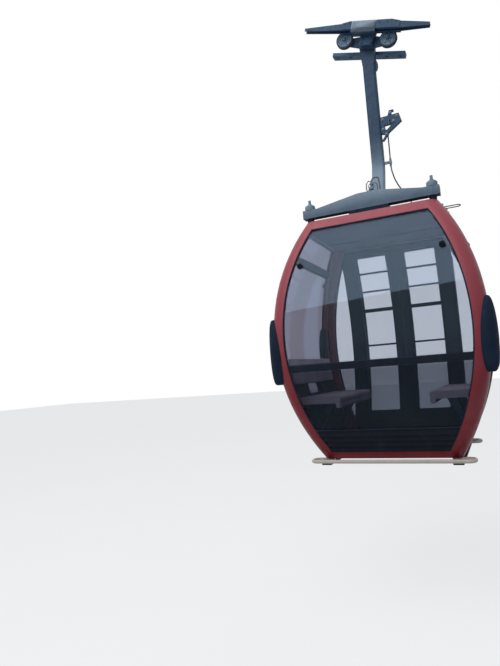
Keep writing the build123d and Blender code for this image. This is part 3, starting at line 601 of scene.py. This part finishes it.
def window_seals():
    """Black seals between the glass and the red hoops, rails and jambs."""
    seals = Piece()
    r = 0.007
    heights = steps(FACE_LOW + r, FACE_HIGH - r, 44)
    near_rails = (0.265, 0.803, 0.857)
    end_rails = (0.800, 1.840, 1.900)
    jamb_outer, hoop_reach = 0.585, 0.60
    slot_x, slot_low, slot_high, slot_r = 0.2, 0.575, 0.685, 0.03

    def face(x, z, side=-1):
        return cabin(x, side * (depth(z) - GLASS_INSET + r * 0.5), z)

    def end(side, y, z, out):
        return cabin(side * (length(z) - GLASS_INSET + out), y, z)

    right = [face(face_edge(z) - r * 0.7, z) for z in heights]
    left = [face(r * 0.7 - face_edge(z), z) for z in reversed(heights)]
    seals.bead(right + left, r, True)
    for z in near_rails:
        half = face_edge(z)
        seals.bead([face(-half, z), face(half, z)], r * 0.8)
    for side in (-1, 1):
        seals.bead([face(side * (face_edge(z) - r * 0.7), z, 1) for z in heights], r)
        beside = [z for z in heights if face_edge(z) > hoop_reach]
        seals.bead([face(side * (jamb_outer + r * 0.5), z, 1) for z in beside], r * 0.8)
        for edge in (-1, 1):
            seals.bead([end(side, edge * (end_edge(z) - r * 0.7), z, r * 0.5) for z in heights], r)
        for z in end_rails:
            half = end_edge(z)
            seals.bead([end(side, -half, z, r * 0.4), end(side, half, z, r * 0.4)], r * 0.7)
        slot = [(-slot_x, slot_low), (slot_x, slot_low), (slot_x, slot_high), (-slot_x, slot_high)]
        seals.bead([end(side, y, z, 0.006) for y, z in rounded(slot, slot_r)], 0.006, True)
    seals.finish("window_seals", "cabin", "rubber")


def door_details():
    """Seals round the door windows, and screws on the shoes, the track cover and the guide."""
    inner, outer = LEAF_SEAL_X
    low, high = LEAF_SEAL_Z
    corners = [(outer, low), (outer, high), (inner, high), (inner, low)]
    loop = spread(rounded(corners, 0.016), 0.06)
    for name, side in (("right", 1), ("left", -1)):
        seals = Piece()
        for out in (0.0375, 0.009):
            seals.bead([cabin(side * x, depth(z) + out, z) for x, z in loop], 0.0055, True)
        seals.finish("door_seals_" + name, "door_" + name, "rubber")
        screws = Piece()
        for x in (0.052, 0.144):
            screws.bolt(cabin(side * x, depth(TRACK_Z) + 0.056, TRACK_Z + 0.012), FAR, 0.012)
        screws.finish("door_shoe_screws_" + name, "door_" + name, "steel")
    cover = Piece()
    for x in steps(-0.57, 0.57, 7):
        cover.screw(cabin(x, depth(TRACK_Z) + 0.078, TRACK_Z + 0.025), FAR, 0.016)
        cover.screw(cabin(x, depth(TRACK_Z) + 0.040, TRACK_Z + 0.047), UP, 0.014)
        cover.screw(cabin(x, depth(GUIDE_Z) + 0.064, GUIDE_Z + 0.020), FAR, 0.012)
    cover.finish("track_cover_screws", "cabin", "steel")


def roof_details():
    """Nuts on the beam studs, bolts of the foot plate, welds, roof seams and screws."""
    studs = [(x, y) for x in (-STUD_X, STUD_X) for y in (-STUD_Y, STUD_Y)]
    nuts = Piece()
    for x, y in studs:
        at = cabin(x, y, CUP_TOP)
        nuts.lathe(at, UP, [(0.024, -0.001), (0.024, 0.003), (0.022, 0.005)], 28)
        nuts.lathe(at, UP, [(0.018, 0.004), (0.018, 0.015), (0.015, 0.018)], 6)
        nuts.lathe(at, UP, [(0.011, 0.017), (0.011, 0.026), (0.008, 0.029)], 16)
    for x in (-0.088, 0.088):
        for y in (-0.082, 0.0, 0.082):
            nuts.bolt(cabin(x, y, FOOT_TOP), UP, 0.022)
    nuts.finish("roof_frame_nuts", "cabin", "galvanised")

    welds = Piece()
    foot_x, foot_y = 0.064, 0.051
    foot = rounded([(-foot_x, -foot_y), (foot_x, -foot_y), (foot_x, foot_y), (-foot_x, foot_y)], 0.022)
    welds.bead([cabin(x, y, FOOT_TOP + 0.001) for x, y in foot], 0.005, True)
    for x, y in studs:
        ring = [cabin(x + a, y + b, BEAM_LOW + 0.083) for a, b in circle(0.049, 32)]
        welds.bead(ring, 0.004, True)
    for side in (-1, 1):
        for z in (BEAM_LOW + 0.021, BEAM_LOW + 0.106):
            welds.bead([cabin(-0.058, side * 0.438, z), cabin(0.058, side * 0.438, z)], 0.0045)
    welds.finish("roof_frame_welds", "cabin", "beam_paint")

    seams = Piece()
    ridge = [(-0.012, -0.002), (0.012, -0.002), (0.009, 0.004), (-0.009, 0.004)]
    for y in (-0.2, 0.0, 0.2):
        seams.sweep([cabin(x, y, DOME_TOP) for x in steps(-0.40, 0.40, 9)], ridge)
    for x in steps(-0.42, 0.42, 9):
        for y in (-0.345, 0.345):
            seams.screw(cabin(x, y, ROOF_TOP), UP, 0.013)
    for y in steps(-0.28, 0.28, 6):
        for x in (-0.50, 0.50):
            seams.screw(cabin(x, y, ROOF_TOP), UP, 0.013)
    seams.finish("roof_seams", "cabin", "roof_skin")


def knob_caps():
    """Caps on the near window knobs, and the same knobs on the end windows."""
    knobs = Piece()
    z = 1.755
    near_x, near_rise = 0.615, 0.0155
    end_y = 0.56
    cap = [(0.015, -0.001), (0.015, 0.003), (0.010, 0.006)]
    knob = [(0.026, -0.001), (0.026, 0.012), (0.022, 0.016)]
    knob += [(0.015, 0.016), (0.015, 0.019), (0.010, 0.022)]
    inside = [(0.022, -0.001), (0.022, 0.006), (0.018, 0.010)]
    lean = math.asin((z - WAIST) / DEPTH_ARC)
    out = Vector((0, -math.cos(lean), math.sin(lean)))
    for x in (-near_x, near_x):
        knobs.lathe(cabin(x, -depth(z, GLASS_INSET), z) + out * near_rise, out, cap)
    lean = math.asin((z - WAIST) / LENGTH_ARC)
    for side in (-1, 1):
        out = Vector((side * math.cos(lean), 0, math.sin(lean)))
        for y in (-end_y, end_y):
            at = cabin(side * length(z, GLASS_INSET), y, z)
            knobs.lathe(at, out, knob)
            knobs.lathe(at - out * 0.008, -out, inside)
    knobs.finish("window_knob_caps", "cabin", "black_plastic")


def bench_details():
    """Seams on the seats, and padded backs on the end walls."""
    seams = Piece()
    front = [(0.76, 0.5615), (0.42, 0.5615), (0.402, 0.556)]
    front += [(0.391, 0.545), (0.3845, 0.528), (0.384, 0.49)]
    for side in (-1, 1):
        for y in (-0.47, -0.155, 0.155, 0.47):
            seams.bead([cabin(side * x, y, z) for x, z in front], 0.003)
        for x in (0.455, 0.66):
            seams.bead([cabin(side * x, y, 0.5605) for y in steps(-0.6, 0.6, 5)], 0.0025)
    seams.finish("seat_seams", "cabin", "seat_shell")
    backs = Piece()
    inner = [(length(z) - BACK_OUT - BACK_T, z) for z in steps(BACK_LOW, BACK_HIGH, 7)]
    outer = [(length(z) - BACK_OUT, z) for z in steps(BACK_HIGH, BACK_LOW, 7)]
    for side in (-1, 1):
        rings = []
        for y in (-BACK_HALF, BACK_HALF):
            rings.append([cabin(side * x, y, z) for x, z in inner + outer])
        backs.add_rings(rings)
    backs.finish("seat_backs", "cabin", "seat_shell", 0.012)


def lining_details():
    """Cove and joints of the ceiling, floor tread, and the screws of the panels."""
    cove_z, header_joint, ceiling_joint = 2.110, 2.077, 0.170
    cove = Piece()
    cove.box(cabin(0, depth(cove_z) - SHELL_WALL - 0.003, cove_z), (1.16, 0.008, 0.014))
    cove.finish("ceiling_cove", "cabin", "lining", 0.002)
    joints = Piece()
    joints.box(cabin(0, ceiling_joint, CEILING_LOW), (1.22, 0.012, 0.006))
    joints.box(cabin(0, depth(header_joint) - SHELL_WALL - 0.003, header_joint), (1.18, 0.007, 0.012))
    joints.finish("ceiling_joints", "cabin", "black_plastic", 0.001)
    tread = Piece()
    for y in steps(-0.46, 0.46, 24):
        tread.box(cabin(0, y, 0.0765), (0.98, 0.016, 0.005))
    tread.finish("floor_tread", "cabin", "floor_mat", 0.001)
    screws = Piece()
    for z in (0.085, 0.132, 0.179, 0.226):
        for side in (-1, 1):
            at = cabin(side * (face_edge(z) - 0.035), -(depth(z) - 0.012), z)
            screws.screw(at, (0, -1, -0.3), 0.012)
    for side in (-1, 1):
        for y in steps(-0.36, 0.36, 5):
            for z in (0.16, 0.745):
                screws.screw(cabin(side * (length(z) - 0.004), y, z), (side, 0, 0), 0.012)
    for x in (-0.505, 0.505):
        for z in steps(0.35, 1.95, 6):
            screws.screw(cabin(x, depth(z) - 0.004, z), FAR, 0.010)
    screws.finish("panel_screws", "cabin", "steel")


def release_details():
    """Smooth release cable with its ferrules, and the bolts and spring of the release bracket."""
    line = bpy.data.curves.new("release_cable_line", "CURVE")
    line.dimensions = "3D"
    line.bevel_depth = 0.0065
    line.bevel_resolution = 3
    line.resolution_u = 16
    upper = (0.125, 0.213)
    lower = (0.300, 0.250)
    spots = [
        (*upper, 3.216), (*upper, 3.05), (*upper, 2.90), (*upper, 2.80),
        (0.168, 0.220, 2.640), (*lower, 2.440), (*lower, 2.300), (*lower, 2.249),
    ]
    spline = line.splines.new("NURBS")
    spline.points.add(len(spots) - 1)
    for point, spot in zip(spline.points, spots):
        point.co = (*cabin(*spot), 1)
    spline.order_u = 3
    spline.use_endpoint_u = True
    cable = bpy.data.objects.new("release_cable_line", line)
    bpy.context.collection.objects.link(cable)
    line.materials.append(MATERIALS["cable_sheath"])
    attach(cable, "cabin")
    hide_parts("release_cable")

    fittings = Piece()
    ferrule = [(0.011, -0.002), (0.011, 0.022), (0.008, 0.034)]
    for place, z, way in ((lower, 2.250, 1), (upper, 3.200, -1), (upper, 2.898, 1), (upper, 2.874, -1)):
        fittings.lathe(cabin(*place, z), (0, 0, way), ferrule, 16)
    near_face, far_face = 0.188, 0.238
    pin_end = [(0.009, -0.001), (0.009, 0.010), (0.007, 0.012)]
    pins = [(0.088, 3.338), (0.088, 3.235), (0.235, 3.345)]
    pins += [(0.196, 3.300), (0.118, 3.178), (0.172, 3.392)]
    for x, z in pins:
        fittings.bolt(cabin(x, near_face, z), NEAR, 0.020)
        fittings.lathe(cabin(x, far_face, z), FAR, pin_end, 6)
    for side in (-1, 1):
        fittings.screw(cabin(0.100, 0.213 + side * 0.012, 2.886), (0, side, 0), 0.012)
    fittings.finish("release_fittings", "cabin", "steel")

    spring = Piece()
    turns, low, high, per_turn = 11, 3.262, 3.325, 14
    around = circle(0.009, per_turn)
    coil = []
    for i, z in enumerate(steps(low, high, turns * per_turn + 1)):
        a, b = around[i % per_turn]
        coil.append(cabin(0.150 + a, 0.180 + b, z))
    spring.bead(coil, 0.0022, False, 6)
    spring.finish("release_spring", "cabin", "steel")


def handle_details():
    """Hooks, pins and a ring on the lock handle."""
    hooks = Piece()

    def at(x, z, shift=0.0):
        return cabin(HANDLE_X + x, shift - STUD_Y, BEAM_MID + z)

    hooks.bolt(at(0.000, 0.032, -0.006), NEAR, 0.018)
    hooks.bolt(at(0.010, 0.066, -0.006), NEAR, 0.014)
    hooks.bead([at(0.004 + a, 0.048 + b, -0.014) for a, b in circle(0.026, 24)], 0.0035, True)
    bow = [(-0.034, 0.0), (-0.044, 0.040), (-0.040, 0.082), (-0.020, 0.106), (0.002, 0.098)]
    hooks.bead([at(x, z) for x, z in bow], 0.005)
    bow = [(0.050, 0.0), (0.056, 0.045), (0.047, 0.080), (0.030, 0.086)]
    hooks.bead([at(x, z, 0.02) for x, z in bow], 0.0045)
    hooks.finish("handle_hooks", "cabin", "steel")


def bumper_pads():
    """Crowned rubber ovals on the corner posts, with rounded ends."""
    pads = Piece()
    for end in (-1, 1):
        for side, inward, turn in PAD_PLACES:
            out = Vector((end * math.cos(turn), side * math.sin(turn), 0))
            across = Vector((-out.y, out.x, 0))
            origin = cabin(end * (length(PAD_Z) - PAD_SINK), side * (depth(PAD_Z) - inward), PAD_Z)
            rings = []
            for angle in steps(-1.54, 1.54, 40):
                lift = PAD_HALF_HEIGHT * math.sin(angle)
                half = PAD_HALF_WIDTH * math.cos(angle)
                rise = PAD_CREST * math.cos(angle) ** 0.45 + PAD_EDGE
                back = length(PAD_Z) - length(PAD_Z + lift) + PAD_BACK
                arc = steps(0, math.pi, 21)
                ring = [(half * math.cos(a), rise * math.sin(a) - PAD_EDGE) for a in arc]
                ring += [(-half, -back), (half, -back)]
                rings.append([origin + a * across + b * out + Vector((0, 0, lift)) for a, b in ring])
            pads.add_rings(rings)
    made = pads.finish("bumper_pad_ovals", "cabin", "rubber")
    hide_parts("bumper_pads")


def base_details():
    """Bolts through the cross bars, between the shell and the guide tubes."""
    bolts = Piece()
    bolt_y, bar_top = 0.600, -0.0346
    for side in (-1, 1):
        for x in (-0.560, 0.560):
            bolts.bolt(cabin(x, side * bolt_y, bar_top), UP, 0.016)
    bolts.finish("base_bolts", "cabin", "galvanised")


def jaw_details():
    """Wear plates on the moving jaw and their screws."""
    plates = Piece()
    turn = Matrix.Rotation(ROPE_TILT, 3, "Y")
    for low, high in ((-0.118, -0.109), (-0.104, -0.095), (-0.090, -0.081), (-0.074, 0.118)):
        plates.box(grip((low + high) / 2, -0.0495, 0.024), (high - low, 0.004, 0.062), turn)
    plates.finish("jaw_wear_plates", "moving_jaw", "jaw_plate", 0.001)
    jaw = Piece()
    for u in (-0.060, 0.104):
        for w in (0.004, 0.044):
            jaw.screw(grip(u, -0.0515, w), NEAR, 0.010)
    jaw.finish("jaw_screws", "moving_jaw", "steel")


def grip_details():
    """Bolts of the housing, pivot nut, friction plate and axles, and ribs on the tongues."""
    bolts = Piece()
    for u, w in ((-0.195, 0.040), (-0.150, 0.046), (0.160, 0.040), (0.245, 0.040), (0.330, 0.040)):
        bolts.bolt(grip(u, -0.048, w), NEAR, 0.013, False)
    for u in (-0.026, 0.066):
        for w in (-0.058, -0.104):
            bolts.bolt(grip(u, 0.062, w), NEAR, 0.020)
    pivot = grip(0, 0.304, PIVOT_W)
    bolts.lathe(pivot, FAR, [(0.040, -0.001), (0.040, 0.004), (0.038, 0.006)], 28)
    bolts.lathe(pivot, FAR, [(0.030, 0.005), (0.032, 0.008), (0.032, 0.026), (0.028, 0.030)], 6)
    down = grip(0, 0, -1)
    for u in (-0.34, -0.20, 0.20, 0.34):
        bolts.bolt(grip(u, 0.320, -0.127), down, 0.022)
    for u, _ in WHEELS:
        bolts.bolt(grip(u, 0.160, WHEEL_W), FAR, 0.030)
    bolts.finish("grip_bolts", "grip", "grip_paint")

    ribs = Piece()
    ridge = [(-0.006, -0.006), (0.006, -0.006), (0.006, 0.003), (-0.006, 0.003)]
    top, fall = 0.049, 0.020
    # Ends of each rib along the rope, then the root and the length of its tongue
    for low, high, root, reach in ((-0.60, -0.26, 0.225, 0.415), (0.40, 0.62, 0.368, 0.287)):
        path = [grip(u, 0, top - fall * (abs(u) - root) / reach) for u in steps(low, high, 7)]
        ribs.sweep(path, ridge)
    for side in (-1, 1):
        collar = [(0.013, -0.004), (0.013, 0.003), (0.010, 0.005)]
        ribs.lathe(grip(side * 0.1365, -0.024, 0.048), grip(side, 0, 0), collar, 18)
    ribs.finish("grip_ribs", "grip", "grip_paint")


def wheel_details():
    """Hub bolts on both faces, ridges round the tyres, and the axle nuts."""
    for u, name in WHEELS:
        hub = Piece()
        for a, b in circle(HUB_BOLT_R, 6):
            hub.bolt(grip(u + a, 0.085, WHEEL_W + b), NEAR, 0.013)
            hub.bolt(grip(u + a, 0.119, WHEEL_W + b), FAR, 0.013)
        hub.finish("hub_bolts_" + name, "wheel_" + name, "wheel_hub")
        tread = Piece()
        for y in (0.090, 0.102, 0.114):
            tread.bead([grip(u + a, y, WHEEL_W + b) for a, b in circle(RIDGE_R, 64)], 0.0022, True, 6)
        tread.finish("tyre_ridges_" + name, "wheel_" + name, "wheel_tyre")
    nuts = Piece()
    for u, _ in WHEELS:
        nuts.lathe(grip(u, 0.0688, WHEEL_W), NEAR, [(0.016, -0.001), (0.016, 0.008), (0.012, 0.011)], 6)
    nuts.finish("axle_nuts", "grip", "steel")


# Stage

def add_camera():
    """Camera at the photograph's place, with its turn, tilt and roll."""
    yaw, pitch, roll = CAMERA_YAW, CAMERA_PITCH, CAMERA_ROLL
    forward = Vector((-math.sin(yaw) * math.cos(pitch), math.cos(yaw) * math.cos(pitch), math.sin(pitch)))
    level = Vector((math.cos(yaw), math.sin(yaw), 0))
    rise = level.cross(forward)
    right = math.cos(roll) * level - math.sin(roll) * rise
    up = math.sin(roll) * level + math.cos(roll) * rise
    data = bpy.data.cameras.new("camera")
    data.sensor_width = SENSOR_MM
    data.lens = FOCAL_PX / PHOTO_HEIGHT_PX * SENSOR_MM
    camera = bpy.data.objects.new("camera", data)
    bpy.context.collection.objects.link(camera)
    rotation = Matrix((right, up, -forward)).transposed().to_4x4()
    camera.matrix_world = Matrix.Translation(CAMERA_AT) @ rotation
    bpy.context.scene.camera = camera


def add_world():
    """Even sky light, seen as plain white by the camera, in gloss and through glass."""
    world = bpy.data.worlds.new("world")
    bpy.context.scene.world = world
    world.use_nodes = True
    tree = world.node_tree
    tree.nodes.clear()
    out = tree.nodes.new("ShaderNodeOutputWorld")
    mix = tree.nodes.new("ShaderNodeMixShader")
    light = tree.nodes.new("ShaderNodeBackground")
    seen = tree.nodes.new("ShaderNodeBackground")
    light.inputs["Color"].default_value = SKY_COLOUR
    light.inputs["Strength"].default_value = SKY_STRENGTH
    seen.inputs["Color"].default_value = (1, 1, 1, 1)
    path = tree.nodes.new("ShaderNodeLightPath")
    total = path.outputs["Is Camera Ray"]
    for name in ("Is Glossy Ray", "Is Transmission Ray"):
        add = tree.nodes.new("ShaderNodeMath")
        add.operation = "ADD"
        add.use_clamp = True
        tree.links.new(total, add.inputs[0])
        tree.links.new(path.outputs[name], add.inputs[1])
        total = add.outputs[0]
    tree.links.new(total, mix.inputs[0])
    tree.links.new(light.outputs[0], mix.inputs[1])
    tree.links.new(seen.outputs[0], mix.inputs[2])
    tree.links.new(mix.outputs[0], out.inputs[0])


def add_softbox():
    """Large soft panel that leans back over the cabin."""
    left, right = Vector(PANEL_LOW_LEFT), Vector(PANEL_LOW_RIGHT)
    across = (right - left).normalized()
    upward = Vector((0, *PANEL_SLOPE))
    upward = (upward - across * upward.dot(across)).normalized()
    back = across.cross(upward)
    lamp = bpy.data.lights.new("softbox", "AREA")
    lamp.shape = "RECTANGLE"
    lamp.size, lamp.size_y = (right - left).length, PANEL_HEIGHT
    lamp.energy = PANEL_POWER
    made = bpy.data.objects.new("softbox", lamp)
    centre = (left + right) / 2 + upward * PANEL_HEIGHT / 2
    turn = Matrix((across, upward, back)).transposed().to_4x4()
    made.matrix_world = Matrix.Translation(centre) @ turn
    bpy.context.collection.objects.link(made)


def add_floor():
    """Pale plain floor far below the hanging cabin, with only a faint shadow on it."""
    s = Shade("floor")
    tone = s.mix(s.span(s.noise(0.8, 4.0), 0.3, 0.7), srgb(226, 227, 229), srgb(232, 233, 235))
    rough = s.span(s.noise(5.0, 3.0), 0.3, 0.7, 0.85, 0.95)
    lit = s.surface(tone, rough, s.bump(s.noise(40.0, 3.0), 0.05, 0.002), specular=0.1)
    pale = s.node("ShaderNodeEmission")
    pale.inputs["Color"].default_value = (0.96, 0.97, 0.98, 1)
    path = s.node("ShaderNodeLightPath")
    rays = s.maths("MAXIMUM", path.outputs["Is Camera Ray"], path.outputs["Is Glossy Ray"])
    rays = s.maths("MAXIMUM", rays, path.outputs["Is Transmission Ray"])
    material = s.finish(s.blend(s.maths("MULTIPLY", rays, 0.75), lit, pale.outputs[0]))
    mesh = bpy.data.meshes.new("floor")
    corners = [(-1, -1), (1, -1), (1, 1), (-1, 1)]
    mesh.from_pydata([(x * FLOOR_HALF, y * FLOOR_HALF, FLOOR_Z) for x, y in corners], [], [(0, 1, 2, 3)])
    floor = bpy.data.objects.new("floor", mesh)
    floor.data.materials.append(material)
    bpy.context.collection.objects.link(floor)


for part in frame["record"]["subparts"]:
    node = frame["nodes"][part["node"]]
    for held in node.material_slots:
        held.material = MATERIALS[part["material_slot"]]

window_seals()
door_details()
roof_details()
knob_caps()
bench_details()
lining_details()
release_details()
handle_details()
bumper_pads()
base_details()
jaw_details()
grip_details()
wheel_details()
add_camera()
add_world()
add_floor()
add_softbox()
bpy.context.scene.view_settings.view_transform = "Standard"
